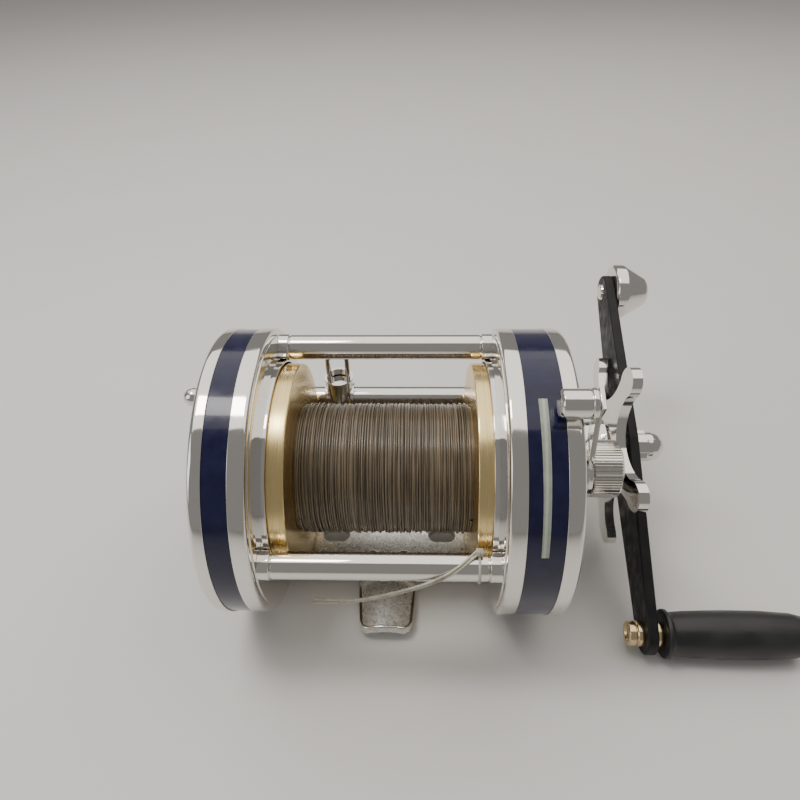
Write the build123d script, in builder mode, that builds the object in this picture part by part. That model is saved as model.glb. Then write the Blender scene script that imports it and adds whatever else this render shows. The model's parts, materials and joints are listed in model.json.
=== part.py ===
from build123d import *
import math
import os

# Level-wind multiplier fishing reel, millimetres.
# +X runs along the spool axis towards the crank, +Y points to the rod tip, +Z is up.
# The origin is the centre of the two clamp slots, on the underside of the base plate.

# ---- main sizes ----
AXIS_Z = 32.4            # height of the spool axis over the underside of the base plate
PLATE_R = 38.0           # chrome rims of the side covers
BAND_R = 37.7            # painted bands
FRAME_X = 28.4           # inner face of each frame ring, from the middle of the spool
RING_X = 31.4            # outer face of each frame ring
BORE_R = 28.9            # opening of each frame ring
LIP_X = 26.4             # each frame ring's lip reaches over the edge of the spool rim
FLANGE_R = 28.5          # spool rims
ARBOR_R = 9.0            # core of the spool
PACK_R = 17.5            # wound line
WINDING_X = (-22.2, 22.8)
SPOOL_X = (-27.4, 27.2)
JOURNAL_R = 1.97         # spindle ends, running in 4 mm bearings
BEARING_BORE = 2.0
BEARING_R = 5.0

INNER_RING_X = 28.7
BAND_X = 32.7            # inner edge of both painted bands
LEFT_BAND_END = 38.4
LEFT_FACE = 40.2
LEFT_OUTER = 41.8
RIGHT_BAND_END = 41.2
RIGHT_OUTER = 45.2

PILLAR_R = 3.3
COLLAR_R = 3.5
COLLAR_X = 25.4
PILLAR_ORBIT = 32.9
NEAR_ANGLE = 3.1         # polar angles run from the angler's side, upwards
UPPER_ANGLE = 124.5
GUIDE_ORBIT = 32.4
GUIDE_ANGLE = 185.0
COVER_SCREW_ORBIT = 32.2

MODULE = 0.5
PINION_TEETH = 14
DRIVE_TEETH = 58
WIND_TEETH = 24
IDLER_TEETH = 16
WORM_TEETH = 12
WIND_X = (33.2, 34.4)    # level-wind gear layer
DRIVE_X = (35.0, 37.2)   # main gear

CRANK_Y = 16.21          # handle axis
CRANK_Z = AXIS_Z - 7.83
CRANK_ANGLE = -26.8      # direction of the grip end
CRANK_X = 68.8
CRANK_T = 2.9
GRIP_ARM = 52.5
WEIGHT_ARM = 53.0
SHAFT_R = 3.5
GRIP_BORE = 2.23

STAR_ARMS = 5
STAR_TIP = 30.0
STAR_PHASE = 159.0
STAR_PADDLE = 4.2        # half width of the rounded tips
STAR_VALLEY_AT = 26.1    # round bites between the arms
STAR_VALLEY_R = 12.1

LEVER_ANGLE = 66.5
LEVER_ARM = 42.0
KNOB_R = 3.3

CAP_X = (55.0, 62.9)     # spool tension cap
CAP_R = 7.8
CAP_RIBS = 60

BUTTON_ANGLE = 78.5
BUTTON_ORBIT = 31.6

SLOT_SPACING = 32.2
SLOT_LENGTH = 7.6
SLOT_WIDTH = 4.4
BASE_HALF_Y = 13.0
BASE_T = 2.0
FOOT_HALF = 29.6
FOOT_ARCH_R = 16.0

CARRIAGE_X = -15.6       # rest place of the line guide
CARRIAGE_HALF = 4.4
POST_HALF = 2.9
POST_R = 0.75

LINE_R = 0.3

os.makedirs("parts", exist_ok=True)


# ---- helpers ----
def polar(radius, angle):
    a = math.radians(angle)
    return (-radius * math.cos(a), AXIS_Z + radius * math.sin(a))


def cross_plane(x, y=0.0, z=AXIS_Z):
    """Plane square to the spool axis; its local axes are +Y and +Z."""
    return Plane(origin=(x, y, z), x_dir=(0, 1, 0), z_dir=(1, 0, 0))


def radial_plane(angle):
    """Plane through the spool axis; local x is X, local y runs outwards at this angle."""
    a = math.radians(angle)
    return Plane(origin=(0, 0, AXIS_Z), x_dir=(1, 0, 0), z_dir=(0, -math.sin(a), -math.cos(a)))


def turned(points, y=0.0, z=AXIS_Z, round_at=(), radius=0.4, mode=Mode.ADD):
    """Revolve an outline of (x, r) points; corners listed in round_at are rounded."""
    plane = Plane(origin=(0, y, z), x_dir=(1, 0, 0), z_dir=(0, -1, 0))
    with BuildSketch(plane) as outline:
        with BuildLine():
            Polyline(*points, close=True)
        make_face()
        for px, pr in round_at:
            corner = outline.vertices().sort_by_distance((px, pr, 0))[0]
            fillet(corner, radius)
    revolve(outline.sketch, axis=Axis((0, y, z), (1, 0, 0)), mode=mode)


def ring(x0, x1, r_out, r_in=0.0, y=0.0, z=AXIS_Z, mode=Mode.ADD):
    """Plain disc or annulus between two stations along X."""
    with BuildSketch(cross_plane(min(x0, x1), y, z)) as face:
        Circle(r_out)
        if r_in > 0:
            Circle(r_in, mode=Mode.SUBTRACT)
    extrude(face.sketch, amount=abs(x1 - x0), mode=mode)


def at_side(points, side):
    return [(side * x, r) for x, r in points]


def finish(builder, name):
    builder.part.label = name
    export_step(builder.part, "parts/" + name + ".step")


def involute_point(base_r, t, start, hand):
    x = base_r * (math.cos(t) + t * math.sin(t))
    y = base_r * (math.sin(t) - t * math.cos(t)) * hand
    c = math.cos(start)
    s = math.sin(start)
    return (x * c - y * s, x * s + y * c)


def gear_outline(teeth, phase, thin=0.06):
    """Involute teeth, 20 degree pressure angle, thinned a little for backlash."""
    pitch_r = MODULE * teeth / 2
    base_r = pitch_r * math.cos(math.radians(20))
    tip_r = pitch_r + 0.88 * MODULE
    root_r = pitch_r - 1.25 * MODULE
    low_r = max(base_r, root_r + 0.05)
    inv20 = math.tan(math.radians(20)) - math.radians(20)
    half = (math.pi * MODULE / 2 - thin) / 2 / pitch_r + inv20
    t0 = math.sqrt(max((low_r / base_r) ** 2 - 1, 0))
    t1 = math.sqrt((tip_r / base_r) ** 2 - 1)
    flank = [t0 + (t1 - t0) * i / 4 for i in range(5)]
    points = []
    for n in range(teeth):
        centre = math.radians(phase) + 2 * math.pi * n / teeth
        a0 = centre - half
        a1 = centre + half
        points.append((root_r * math.cos(a0), root_r * math.sin(a0)))
        for t in flank:
            points.append(involute_point(base_r, t, a0, 1))
        for t in reversed(flank):
            points.append(involute_point(base_r, t, a1, -1))
        points.append((root_r * math.cos(a1), root_r * math.sin(a1)))
    return points


def gear(x_range, teeth, phase, y, z, bore):
    with BuildSketch(cross_plane(x_range[0], y, z)) as face:
        with BuildLine():
            Polyline(*gear_outline(teeth, phase), close=True)
        make_face()
        Circle(bore, mode=Mode.SUBTRACT)
    extrude(face.sketch, amount=x_range[1] - x_range[0])


def mesh_phase(first, teeth0, phase0, second, teeth1):
    """Phase that puts a gap of the second gear on a tooth of the first at their contact."""
    beta = math.degrees(math.atan2(second[1] - first[1], second[0] - first[0]))
    delta0 = (phase0 - beta) % (360 / teeth0)
    return beta + 180 - delta0 * teeth0 / teeth1 + 180 / teeth1


def ribs(count, outer, inner):
    """Zigzag outline of a ribbed edge."""
    points = []
    for n in range(count):
        for k, r in ((0.0, inner), (0.22, outer), (0.5, outer), (0.72, inner)):
            a = 2 * math.pi * (n + k) / count
            points.append((r * math.cos(a), r * math.sin(a)))
    return points


def tube_radii(points):
    """Largest tangent arc at every corner of a soft route."""
    radii = []
    for a, b, c in zip(points, points[1:], points[2:]):
        va = Vector(*b) - Vector(*a)
        vb = Vector(*c) - Vector(*b)
        half = math.radians(va.get_angle(vb)) / 2
        radii.append(0.45 * min(va.length, vb.length) / math.tan(half))
    return radii


near = polar(PILLAR_ORBIT, NEAR_ANGLE)
upper = polar(PILLAR_ORBIT, UPPER_ANGLE)
guide = polar(GUIDE_ORBIT, GUIDE_ANGLE)
handle = (CRANK_Y, CRANK_Z)
LEFT_SCREWS = [polar(COVER_SCREW_ORBIT, a) for a in (50, 155, 270)]
RIGHT_SCREWS = [polar(COVER_SCREW_ORBIT, a) for a in (40, 155, 290)]


# ---- frame ----
def frame_ring(side, screws):
    outline = [(LIP_X, BORE_R), (LIP_X, 29.5), (27.6, 29.5), (27.6, 30.2), (FRAME_X, 30.2)]
    outline += [(FRAME_X, 36.0), (RING_X, 36.0), (RING_X, BORE_R)]
    turned(at_side(outline, side), round_at=[(side * LIP_X, 29.5), (side * FRAME_X, 36.0)], radius=0.25)
    for y, z in (near, upper, guide):
        ring(side * 26.0, side * FRAME_X, COLLAR_R + 0.05, 0, y, z, mode=Mode.SUBTRACT)
    for y, z in (near, upper):
        ring(side * 28.0, side * 32.0, 1.2, 0, y, z, mode=Mode.SUBTRACT)
        ring(side * 30.2, side * 32.0, 2.0, 0, y, z, mode=Mode.SUBTRACT)
    ring(side * 28.0, side * 32.0, 2.2, 0, *guide, mode=Mode.SUBTRACT)
    for y, z in screws:
        ring(side * 29.2, side * 32.0, 1.1, 0, y, z, mode=Mode.SUBTRACT)


with BuildPart() as left_end_ring:
    frame_ring(-1, LEFT_SCREWS)
finish(left_end_ring, "left_end_ring")

with BuildPart() as right_end_ring:
    frame_ring(1, RIGHT_SCREWS)
finish(right_end_ring, "right_end_ring")


def pillar(y, z):
    outline = [(-FRAME_X, 0), (-FRAME_X, COLLAR_R), (-COLLAR_X - 0.3, COLLAR_R), (-COLLAR_X, PILLAR_R - 0.3)]
    outline += [(-COLLAR_X + 0.3, PILLAR_R), (COLLAR_X - 0.3, PILLAR_R), (COLLAR_X, PILLAR_R - 0.3)]
    outline += [(COLLAR_X + 0.3, COLLAR_R), (FRAME_X, COLLAR_R), (FRAME_X, 0)]
    turned(outline, y, z)
    ring(-FRAME_X, -22.0, 1.2, 0, y, z, mode=Mode.SUBTRACT)
    ring(22.0, FRAME_X, 1.2, 0, y, z, mode=Mode.SUBTRACT)


with BuildPart() as near_pillar:
    pillar(*near)
finish(near_pillar, "near_pillar")

with BuildPart() as upper_pillar:
    pillar(*upper)
finish(upper_pillar, "upper_pillar")

with BuildPart() as pillar_screws:
    screw = [(22.5, 0), (22.5, 1.2), (30.2, 1.2), (30.2, 2.0), (31.2, 2.0), (31.2, 0)]
    for side in (-1, 1):
        for y, z in (near, upper):
            turned(at_side(screw, side), y, z)
finish(pillar_screws, "pillar_screws")

with BuildPart() as base_plate:
    with BuildSketch(Plane.XY):
        Rectangle(2 * FRAME_X, 2 * BASE_HALF_Y)
        with Locations((-SLOT_SPACING / 2, 0), (SLOT_SPACING / 2, 0)):
            SlotOverall(SLOT_LENGTH, SLOT_WIDTH, mode=Mode.SUBTRACT)
        with GridLocations(9, 16, 2, 2):
            Circle(1.5, mode=Mode.SUBTRACT)
    extrude(amount=BASE_T)
    chamfer(base_plate.edges().filter_by(Axis.X).group_by(Axis.Z)[-1], 0.4)
finish(base_plate, "base_plate")

with BuildPart() as reel_foot:
    with BuildSketch(Plane.XZ.offset(-FOOT_HALF)):
        with Locations((0, -FOOT_ARCH_R)):
            Circle(FOOT_ARCH_R)
            Circle(FOOT_ARCH_R - 2.1, mode=Mode.SUBTRACT)
        with Locations((0, -FOOT_ARCH_R - 5.0)):
            Rectangle(60, 2 * FOOT_ARCH_R, mode=Mode.SUBTRACT)
    extrude(amount=2 * FOOT_HALF)
    with BuildSketch(Plane.XY.offset(-6)):
        with BuildLine():
            Polyline((8.6, 0), (8.2, 15), (6.9, FOOT_HALF), (-6.9, FOOT_HALF), (-8.2, 15), (-8.6, 0),
                     (-8.2, -15), (-6.9, -FOOT_HALF), (6.9, -FOOT_HALF), (8.2, -15), close=True)
        make_face()
    extrude(amount=8, mode=Mode.INTERSECT)
    fillet(reel_foot.edges().filter_by(Axis.Z), 2.8)
    with BuildSketch(Plane.XY):
        Rectangle(13, 2 * BASE_HALF_Y - 2)
    extrude(amount=-2.1)
    with BuildSketch(Plane.XY):
        with GridLocations(9, 16, 2, 2):
            Circle(1.5)
    extrude(amount=-6, mode=Mode.SUBTRACT)
finish(reel_foot, "reel_foot")

with BuildPart() as foot_rivets:
    with BuildSketch(Plane.XY.offset(-2.0)):
        with GridLocations(9, 16, 2, 2):
            Circle(1.5)
    extrude(amount=4.0)
    with BuildSketch(Plane.XY.offset(BASE_T)):
        with GridLocations(9, 16, 2, 2):
            Circle(2.3)
    extrude(amount=0.8)
    fillet(foot_rivets.edges().filter_by(GeomType.CIRCLE).group_by(Axis.Z)[-1], 0.5)
finish(foot_rivets, "foot_rivets")


# ---- side covers ----
def inner_ring(side):
    turned(
        at_side([(INNER_RING_X, 36.0), (INNER_RING_X, PLATE_R), (BAND_X, PLATE_R), (BAND_X, 36.0)], side),
        round_at=[(side * INNER_RING_X, PLATE_R)],
        radius=1.0,
    )


with BuildPart() as inner_rings:
    inner_ring(-1)
    inner_ring(1)
finish(inner_rings, "inner_rings")

def outer_rim(x_band, x_face):
    turned(
        [(x_band, 34.5), (x_band, PLATE_R), (x_face, PLATE_R), (x_face, 34.5)],
        round_at=[(x_face, PLATE_R), (x_face, 34.5)],
        radius=1.4,
    )


button_y, button_z = polar(BUTTON_ORBIT, BUTTON_ANGLE)


def click_slot(x0, x1):
    """Obround slot for the click button, 4 mm of travel away from the angler."""
    a = math.radians(BUTTON_ANGLE)
    travel = Vector(0, math.sin(a), math.cos(a)) * 2.0
    centre = Vector(x0, button_y, button_z) + travel
    with BuildSketch(Plane(origin=centre, x_dir=(0, math.sin(a), math.cos(a)), z_dir=(1, 0, 0))) as slot:
        SlotCenterToCenter(4.0, 3.2)
    extrude(slot.sketch, amount=x1 - x0, mode=Mode.SUBTRACT)


with BuildPart() as left_cover:
    shell = [(RING_X, 36.0), (BAND_X, 36.0), (BAND_X, BAND_R)]
    shell += [(LEFT_BAND_END, BAND_R), (LEFT_BAND_END, 0), (37.0, 0), (37.0, BEARING_R)]
    shell += [(32.8, BEARING_R), (32.8, 7.4), (36.9, 8.0), (36.9, 36.2)]
    shell += [(33.4, 36.2), (33.4, 34.0), (RING_X, 34.0)]
    turned(at_side(shell, -1))
    for y, z in LEFT_SCREWS:
        ring(-39, -30, 1.1, 0, y, z, mode=Mode.SUBTRACT)
    click_slot(-39, -36)
finish(left_cover, "left_cover")

with BuildPart() as left_face_disc:
    face = [(LEFT_BAND_END, 0), (LEFT_BAND_END, 34.4), (39.2, 34.4), (LEFT_FACE, 32.6), (LEFT_FACE, 12.0)]
    face += [(40.8, 11.0), (41.6, 8.0), (41.6, 0)]
    turned(at_side(face, -1))
    for y, z in LEFT_SCREWS:
        ring(-43, -37, 1.1, 0, y, z, mode=Mode.SUBTRACT)
        ring(-43, -39.4, 1.9, 0, y, z, mode=Mode.SUBTRACT)
    click_slot(-43, -37)
finish(left_face_disc, "left_face_disc")

with BuildPart() as left_outer_rim:
    outer_rim(-LEFT_BAND_END, -LEFT_OUTER)
finish(left_outer_rim, "left_outer_rim")

with BuildPart() as right_cover:
    shell = [(RING_X, 36.0), (BAND_X, 36.0), (BAND_X, BAND_R), (RIGHT_BAND_END, BAND_R)]
    shell += [(RIGHT_BAND_END, 29.0), (39.6, 29.0), (39.6, 36.2), (33.0, 36.2)]
    shell += [(33.0, 34.0), (RING_X, 34.0)]
    turned(shell)
    for y, z in RIGHT_SCREWS:
        ring(30, 42, 1.1, 0, y, z, mode=Mode.SUBTRACT)
finish(right_cover, "right_cover")

with BuildPart() as right_outer_rim:
    outer_rim(RIGHT_BAND_END, RIGHT_OUTER)
finish(right_outer_rim, "right_outer_rim")

with BuildPart() as right_face_dome:
    outside = [(RIGHT_BAND_END, 34.4), (43.0, 34.4), (43.6, 33.4), (44.6, 30.0), (46.4, 22.0)]
    outside += [(47.7, 14.0), (48.2, 9.4), (51.2, 9.4), (51.6, 9.0), (51.6, 5.4), (58.4, 5.4)]
    inside = [(58.4, 2.6), (46.6, 2.6), (46.6, 9.0), (45.9, 16.0), (44.6, 24.0), (43.2, 28.4)]
    inside += [(42.0, 29.4), (RIGHT_BAND_END, 29.4)]
    turned(outside + inside)
    ring(44.6, 51.6, 7.2, 0, *handle)
    ring(40.0, 52.0, BEARING_R, 0, *handle, mode=Mode.SUBTRACT)
    for y, z in RIGHT_SCREWS:
        ring(40, 46, 1.1, 0, y, z, mode=Mode.SUBTRACT)
        ring(42.4, 46, 1.9, 0, y, z, mode=Mode.SUBTRACT)
finish(right_face_dome, "right_face_dome")

with BuildPart() as cover_screws:
    for side, seat, places in ((-1, 39.4, LEFT_SCREWS), (1, 42.4, RIGHT_SCREWS)):
        screw = [(29.4, 0), (29.4, 1.1), (seat, 1.1), (seat, 1.9)]
        screw += [(seat + 1.2, 1.9), (seat + 1.6, 1.4), (seat + 1.6, 0)]
        for y, z in places:
            turned(at_side(screw, side), y, z)
finish(cover_screws, "cover_screws")

with BuildPart() as indicator_strip:
    ring(34.6, 38.4, BAND_R + 0.2, BAND_R)
    a = math.radians(43.5)
    outward = (0, -math.cos(a), math.sin(a))
    centre = Vector(0, 0, AXIS_Z)
    with BuildSketch(Plane(origin=centre, x_dir=(1, 0, 0), z_dir=outward)):
        with BuildLine():
            Polyline((35.5, 17.7), (37.5, 17.7), (37.65, -17.3), (36.0, -17.3), close=True)
        make_face()
    extrude(amount=45, mode=Mode.INTERSECT)
finish(indicator_strip, "indicator_strip")

with BuildPart() as bridge_plate:
    ring(RING_X, 32.8, 33.9)
    ring(29.0, 32.8, 7.2)
    ring(28.0, 33.0, BEARING_R, 0, mode=Mode.SUBTRACT)
    ring(31.0, 33.0, 3.6, 0, *handle, mode=Mode.SUBTRACT)
    ring(31.0, 33.0, 1.9, 0, *guide, mode=Mode.SUBTRACT)
    for y, z in RIGHT_SCREWS:
        ring(31.0, 33.0, 1.1, 0, y, z, mode=Mode.SUBTRACT)
    for y, z in (near, upper):
        ring(31.0, 33.0, 2.2, 0, y, z, mode=Mode.SUBTRACT)
finish(bridge_plate, "bridge_plate")

# ---- bearings and bushes ----
with BuildPart() as spool_bearings:
    ring(-36.6, -33.0, BEARING_R, BEARING_BORE)
    ring(29.2, 32.8, BEARING_R, BEARING_BORE)
finish(spool_bearings, "spool_bearings")

with BuildPart() as handle_bushes:
    ring(31.4, 32.8, 3.6, 2.53, *handle)
    ring(45.0, 51.9, BEARING_R, SHAFT_R + 0.03, *handle)
finish(handle_bushes, "handle_bushes")

# ---- spool ----
with BuildPart() as spool:
    left, right = SPOOL_X
    near_left, near_right = WINDING_X
    rims = [(left, FLANGE_R), (near_left, FLANGE_R), (near_right, FLANGE_R), (right, FLANGE_R)]
    winding = rims[:2] + [(near_left, ARBOR_R), (near_right, ARBOR_R)] + rims[2:]
    right_end = [(right, 25.4), (24.8, 24.6), (24.2, 9.0), (25.4, 5.2), (27.4, 5.2), (27.4, 3.0)]
    left_end = [(-27.4, 3.0), (-27.4, 5.2), (-25.4, 5.2), (-24.2, 9.0), (-24.8, 24.6), (left, 25.4)]
    turned(winding + right_end + left_end)
    rim_edges = spool.edges().filter_by(GeomType.CIRCLE).filter_by(lambda e: abs(e.radius - FLANGE_R) < 0.01)
    chamfer(rim_edges, 0.55)
finish(spool, "spool")

with BuildPart() as line_pack:
    start, end = WINDING_X
    turned([(start, ARBOR_R), (start, PACK_R - 0.6), (start + 1.6, PACK_R),
            (end - 1.6, PACK_R), (end, PACK_R - 0.6), (end, ARBOR_R)])
finish(line_pack, "line_pack")

with BuildPart() as spindle:
    turned([(-36.4, 0), (-36.4, 1.6), (-36.0, JOURNAL_R), (-27.4, JOURNAL_R), (-27.4, 3.0), (27.4, 3.0),
            (27.4, JOURNAL_R), (56.2, JOURNAL_R), (56.6, 1.6), (56.6, 0)])
finish(spindle, "spindle")

PINION_PHASE = 0.0
drive_phase = mesh_phase((0, AXIS_Z), PINION_TEETH, PINION_PHASE, handle, DRIVE_TEETH)
with BuildPart() as pinion:
    gear((34.6, 38.2), PINION_TEETH, PINION_PHASE, 0, AXIS_Z, JOURNAL_R)
    ring(38.2, 39.6, 2.8, JOURNAL_R)
finish(pinion, "pinion")

with BuildPart() as click_gear:
    with BuildSketch(cross_plane(-31.2)):
        with BuildLine():
            Polyline(*ribs(18, 5.5, 4.7), close=True)
        make_face()
        Circle(JOURNAL_R, mode=Mode.SUBTRACT)
    extrude(amount=1.4)
finish(click_gear, "click_gear")

with BuildPart() as brake_hub:
    ring(-29.6, -27.8, 4.4, JOURNAL_R)
finish(brake_hub, "brake_hub")

with BuildPart() as brake_blocks:
    for direction in (1, -1):
        with BuildSketch(Plane(origin=(-28.7, 0, AXIS_Z + direction * 4.4), z_dir=(0, 0, direction))):
            Circle(0.85)
        extrude(amount=4.6)
finish(brake_blocks, "brake_blocks")

# ---- gears on the handle shaft ----
wind_phase = 5.0
dy = guide[0] - handle[0]
dz = guide[1] - handle[1]
span = math.hypot(dy, dz)
reach0 = MODULE * (WIND_TEETH + IDLER_TEETH) / 2
reach1 = MODULE * (IDLER_TEETH + WORM_TEETH) / 2
along = (span ** 2 + reach0 ** 2 - reach1 ** 2) / (2 * span)
aside = math.sqrt(reach0 ** 2 - along ** 2)
idler = (handle[0] + (dy * along - dz * aside) / span, handle[1] + (dz * along + dy * aside) / span)
idler_phase = mesh_phase(handle, WIND_TEETH, wind_phase, idler, IDLER_TEETH)
worm_phase = mesh_phase(idler, IDLER_TEETH, idler_phase, guide, WORM_TEETH)

with BuildPart() as handle_shaft:
    outline = [(31.6, 0), (31.6, 2.5), (33.2, 2.5), (33.2, 3.0), (42.0, 3.0), (42.0, SHAFT_R)]
    outline += [(CRANK_X, SHAFT_R), (CRANK_X, 3.0), (72.6, 3.0), (72.6, 2.5), (76.6, 2.5)]
    outline += [(77.0, 2.1), (77.0, 0)]
    turned(outline, *handle)
finish(handle_shaft, "handle_shaft")

with BuildPart() as main_gear:
    gear(DRIVE_X, DRIVE_TEETH, drive_phase, *handle, 3.0)
    with BuildSketch(cross_plane(DRIVE_X[0], *handle)):
        with PolarLocations(8.6, 6, start_angle=drive_phase):
            Circle(2.6)
    extrude(amount=3, mode=Mode.SUBTRACT)
finish(main_gear, "main_gear")

with BuildPart() as wind_drive_gear:
    gear(WIND_X, WIND_TEETH, wind_phase, *handle, 3.0)
finish(wind_drive_gear, "wind_drive_gear")

with BuildPart() as ratchet_wheel:
    with BuildSketch(cross_plane(37.6, *handle)):
        with BuildLine():
            Polyline(*ribs(16, 8.0, 7.0), close=True)
        make_face()
        Circle(3.0, mode=Mode.SUBTRACT)
    extrude(amount=1.0)
finish(ratchet_wheel, "ratchet_wheel")

with BuildPart() as drag_washers:
    for n in range(3):
        ring(38.8 + 0.8 * n, 39.4 + 0.8 * n, 9.4, 3.0, *handle)
finish(drag_washers, "drag_washers")

DOG = (handle[0] - 2.0, handle[1] - 16.8)
with BuildPart() as anti_reverse_dog:
    with BuildSketch(cross_plane(37.7, *DOG)):
        Circle(2.4)
        with BuildLine():
            Polyline((-2.2, 0.6), (-1.0, 8.0), (0.8, 8.2), (2.2, 0.8), close=True)
        make_face()
        Circle(1.2, mode=Mode.SUBTRACT)
    extrude(amount=0.9)
finish(anti_reverse_dog, "anti_reverse_dog")

with BuildPart() as gear_posts:
    ring(32.8, 34.8, 1.2, 0, *idler)
    ring(32.8, 39.0, 1.2, 0, *DOG)
finish(gear_posts, "gear_posts")

with BuildPart() as idler_gear:
    gear(WIND_X, IDLER_TEETH, idler_phase, *idler, 1.23)
finish(idler_gear, "idler_gear")

# ---- star drag ----
with BuildPart() as star_drag:
    turned([(62.7, 5.0), (63.0, 9.0), (65.4, 28.5), (65.6, 31.0),
            (68.3, 31.0), (68.1, 28.5), (65.6, 9.0), (65.2, 5.0)], *handle)
    with BuildSketch(cross_plane(60, *handle)):
        Circle(STAR_TIP - STAR_PADDLE)
        with PolarLocations(STAR_VALLEY_AT, STAR_ARMS, start_angle=180 - STAR_PHASE + 180 / STAR_ARMS):
            Circle(STAR_VALLEY_R, mode=Mode.SUBTRACT)
        with PolarLocations(STAR_TIP - STAR_PADDLE, STAR_ARMS, start_angle=180 - STAR_PHASE):
            Circle(STAR_PADDLE)
    extrude(amount=12, mode=Mode.INTERSECT)
    turned([(54.0, SHAFT_R + 0.05), (54.0, 7.0), (54.6, 7.6), (61.0, 7.6), (63.4, 8.6),
            (65.6, 8.6), (66.4, 7.8), (66.4, SHAFT_R + 0.05)], *handle)
    ring(50, 70, SHAFT_R + 0.05, 0, *handle, mode=Mode.SUBTRACT)
finish(star_drag, "star_drag")

# ---- crank ----
ca = math.radians(CRANK_ANGLE)
toward_grip = (-math.cos(ca), math.sin(ca))
grip_axis = (handle[0] + GRIP_ARM * toward_grip[0], handle[1] + GRIP_ARM * toward_grip[1])
weight_axis = (handle[0] - WEIGHT_ARM * toward_grip[0], handle[1] - WEIGHT_ARM * toward_grip[1])
CRANK_END = CRANK_X + CRANK_T
crank_turn = math.degrees(math.atan2(toward_grip[1], toward_grip[0]))

with BuildPart() as crank_arm:
    with BuildSketch(cross_plane(CRANK_X, *handle)):
        with BuildSketch(cross_plane(CRANK_X, *handle), mode=Mode.PRIVATE) as arm:
            Circle(9.0)
            with Locations(Rotation(0, 0, crank_turn)):
                with Locations((GRIP_ARM, 0)):
                    Circle(5.4)
                with Locations((-WEIGHT_ARM, 0)):
                    Circle(5.2)
            make_hull()
        add(arm.sketch_local)
        Circle(3.0, mode=Mode.SUBTRACT)
        with Locations(Rotation(0, 0, crank_turn)):
            with Locations((GRIP_ARM, 0)):
                Circle(2.2, mode=Mode.SUBTRACT)
            with Locations((-WEIGHT_ARM, 0)):
                Circle(1.5, mode=Mode.SUBTRACT)
    extrude(amount=CRANK_T)
    outer_edges = crank_arm.faces().filter_by(Axis.X).edges().filter_by(lambda e: e.length > 9.5)
    chamfer(outer_edges, 0.35)
finish(crank_arm, "crank_arm")

with BuildPart() as lock_plate:
    with BuildSketch(Plane(origin=(CRANK_END, *handle), x_dir=(0, *toward_grip), z_dir=(1, 0, 0))):
        with Locations((2.5, 0)):
            SlotCenterToCenter(8.0, 11.0)
        Circle(3.0, mode=Mode.SUBTRACT)
    extrude(amount=0.9)
finish(lock_plate, "lock_plate")

with BuildPart() as handle_nut:
    with BuildSketch(cross_plane(CRANK_END + 0.9, *handle)):
        RegularPolygon(4.9, 6)
    extrude(amount=3.0)
    dome = [(72.6, 0), (72.6, 4.4), (77.0, 4.4), (79.0, 3.9), (80.3, 2.9), (81.2, 1.5), (81.4, 0)]
    turned(dome, *handle)
    ring(72.0, 77.2, 2.5, 0, *handle, mode=Mode.SUBTRACT)
finish(handle_nut, "handle_nut")

with BuildPart() as counterweight:
    outline = [(CRANK_END, 1.5), (CRANK_END, 8.0), (72.4, 8.7), (75.0, 8.7), (76.2, 8.1)]
    outline += [(81.9, 4.6), (82.9, 3.4), (83.1, 0), (77.0, 0), (77.0, 1.5)]
    turned(outline, *weight_axis)
finish(counterweight, "counterweight")

with BuildPart() as counterweight_screw:
    outline = [(68.0, 0), (68.0, 1.9), (68.2, 2.3), (CRANK_X, 2.6), (CRANK_X, 1.5), (77.0, 1.5), (77.0, 0)]
    turned(outline, *weight_axis)
finish(counterweight_screw, "counterweight_screw")

with BuildPart() as grip_axle:
    outline = [(65.4, 0), (65.4, 1.7), (64.8, 2.1), (64.6, 2.7), (65.0, 3.2), (66.6, 3.3), (66.9, 2.9)]
    outline += [(67.3, 3.3), (CRANK_X, 3.3), (CRANK_X, 2.2), (111.0, 2.2), (111.0, 0)]
    turned(outline, *grip_axis)
finish(grip_axle, "grip_axle")

with BuildPart() as grip_collar:
    outline = [(CRANK_END, 2.2), (CRANK_END, 3.2), (72.1, 3.5), (73.2, 3.5), (73.6, 3.2), (73.6, 2.2)]
    turned(outline, *grip_axis)
finish(grip_collar, "grip_collar")

with BuildPart() as grip:
    outline = [(73.9, GRIP_BORE), (73.9, 5.9), (74.2, 6.4), (75.2, 6.4), (75.6, 5.7), (76.4, 5.6)]
    outline += [(80.0, 5.9), (90.0, 6.25), (100.0, 6.2), (108.0, 5.7), (110.8, 5.0), (111.8, 4.0)]
    outline += [(112.0, 3.2), (112.0, 0), (111.3, 0), (111.3, GRIP_BORE)]
    turned(outline, *grip_axis)
finish(grip, "grip")

# ---- tension cap ----
with BuildPart() as tension_cap:
    with BuildSketch(cross_plane(CAP_X[0])):
        with BuildLine():
            Polyline(*ribs(CAP_RIBS, CAP_R, CAP_R - 0.5), close=True)
        make_face()
    extrude(amount=CAP_X[1] - CAP_X[0])
    crowned = [(54.8, 0), (54.8, 7.2), (56.2, 8.8), (61.2, 8.8), (62.2, 7.6), (62.9, 6.6), (63.0, 0)]
    turned(crowned, mode=Mode.INTERSECT)
    ring(54.0, 58.7, 5.46, 0, mode=Mode.SUBTRACT)
finish(tension_cap, "tension_cap")

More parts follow.
